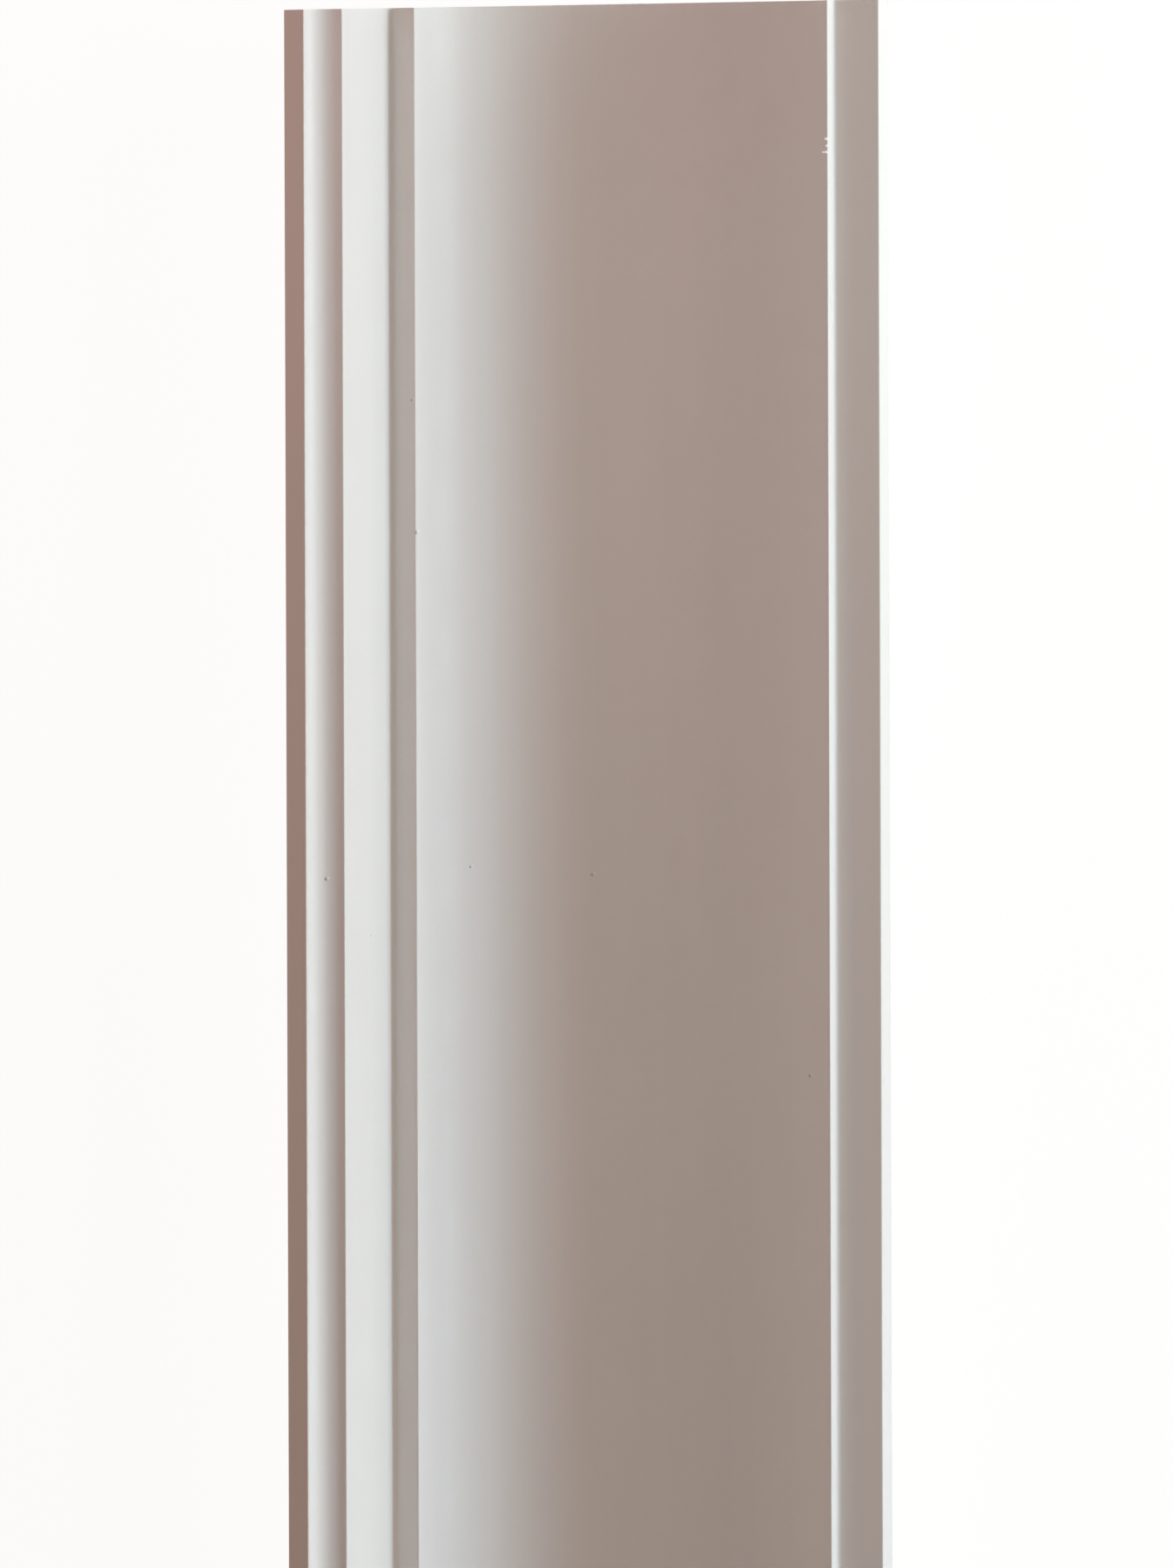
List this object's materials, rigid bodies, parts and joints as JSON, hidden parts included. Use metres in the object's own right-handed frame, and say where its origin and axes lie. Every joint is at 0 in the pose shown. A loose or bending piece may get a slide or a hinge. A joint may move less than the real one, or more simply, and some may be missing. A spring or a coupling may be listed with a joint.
{
  "type": "polyurethane cornice moulding",
  "caption": "Long foam ceiling moulding with a stepped show face, a small and a large hollow, two glue faces and a flat back, in white primer.",
  "frame": {"origin": "middle of the outline, at the level the flat back rests on", "axes": "+Y along the length, +Z out of the show face, +X from the wall edge to the ceiling edge"},
  "size_m": [0.1602, 2, 0.0434],
  "materials": {
    "primed_foam": "white factory primer with a soft satin sheen, over fine closed foam"
  },
  "bodies": {
    "root": {"cornice_moulding": "primed_foam"}
  },
  "joints": []
}
